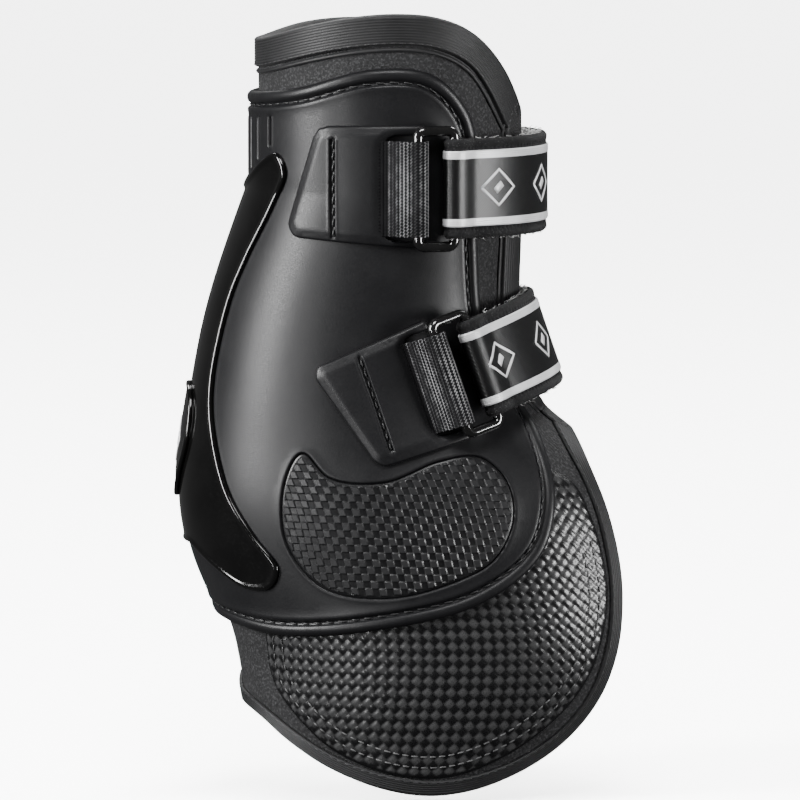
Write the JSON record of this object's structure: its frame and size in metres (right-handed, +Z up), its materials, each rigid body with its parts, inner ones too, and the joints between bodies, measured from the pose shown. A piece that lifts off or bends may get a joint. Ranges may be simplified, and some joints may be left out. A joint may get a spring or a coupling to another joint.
{
  "type": "hind fetlock boot",
  "caption": "Closed-back horse leg boot with a moulded shell, padded liner, long rounded inner flap and sprung straps across the open front.",
  "frame": {"origin": "on the axis of the leg, inside the neck of the boot, level with the middle of the upper strap", "axes": "+Z up the leg, +X towards the open front of the boot, -Y towards the inner side with the long flap"},
  "size_m": [0.1316, 0.0977, 0.228],
  "materials": {
    "shell": "matte black thermoplastic polyurethane with soft sheen",
    "gloss_insert": "polished black thermoplastic polyurethane",
    "inset": "black, embossed with a fine checker",
    "neoprene": "black knitted jersey over neoprene",
    "lining": "soft brushed black knit",
    "binding": "black ribbed elastic tape",
    "carbon_cloth": "black basket-weave embossed synthetic, semi gloss",
    "elastic": "black knitted elastic webbing",
    "hook": "black hook tape",
    "ring": "black coated steel wire",
    "tape": "black felted strap tape",
    "ribbon": "black satin with two silver stripes",
    "pile": "pale grey loop pile"
  },
  "bodies": {
    "boot": {"outer_shell": "shell", "spine_insert": "gloss_insert", "badge_plate": "shell", "woven_inset": "inset", "neoprene_liner": "neoprene", "inner_lining": "lining", "collar_binding": "binding", "near_front_binding": "binding", "far_front_binding": "binding", "flap_binding": "binding", "far_hem_binding": "binding", "flap_cover": "carbon_cloth", "upper_strap_tab": "shell", "upper_elastic": "elastic", "upper_hook_patch": "hook", "lower_strap_tab": "shell", "lower_elastic": "elastic", "lower_hook_patch": "hook"},
    "upper_elastic_end": {"upper_elastic_loop": "elastic"},
    "upper_ring_body": {"upper_ring": "ring"},
    "upper_strap": {"upper_strap_tape": "tape", "upper_strap_ribbon": "ribbon", "upper_strap_lining": "pile"},
    "lower_elastic_end": {"lower_elastic_loop": "elastic"},
    "lower_ring_body": {"lower_ring": "ring"},
    "lower_strap": {"lower_strap_tape": "tape", "lower_strap_ribbon": "ribbon", "lower_strap_lining": "pile"}
  },
  "joints": [
    {"name": "upper_elastic_stretch", "type": "slide", "parent": "boot", "child": "upper_elastic_end", "axis": [1, 0, 0], "range_m": [0, 0.008], "stiffness_N_per_m": 600},
    {"name": "upper_ring_tip", "type": "hinge", "parent": "upper_elastic_end", "child": "upper_ring_body", "pos_m": [0.00875, -0.04429, 0], "axis": [0, 0, -1], "range_deg": [0, 45]},
    {"name": "upper_strap_swing", "type": "hinge", "parent": "upper_ring_body", "child": "upper_strap", "pos_m": [0.01926, -0.04104, 0], "axis": [0, 0, -1], "range_deg": [0, 120]},
    {"name": "lower_elastic_stretch", "type": "slide", "parent": "boot", "child": "lower_elastic_end", "axis": [0.9455, 0, 0.3256], "range_m": [0, 0.008], "stiffness_N_per_m": 600},
    {"name": "lower_ring_tip", "type": "hinge", "parent": "lower_elastic_end", "child": "lower_ring_body", "pos_m": [0.01796, -0.0459, -0.05501], "axis": [0.3256, 0, -0.9455], "range_deg": [0, 45]},
    {"name": "lower_strap_swing", "type": "hinge", "parent": "lower_ring_body", "child": "lower_strap", "pos_m": [0.02706, -0.04057, -0.05188], "axis": [0.3256, 0, -0.9455], "range_deg": [0, 120]}
  ]
}
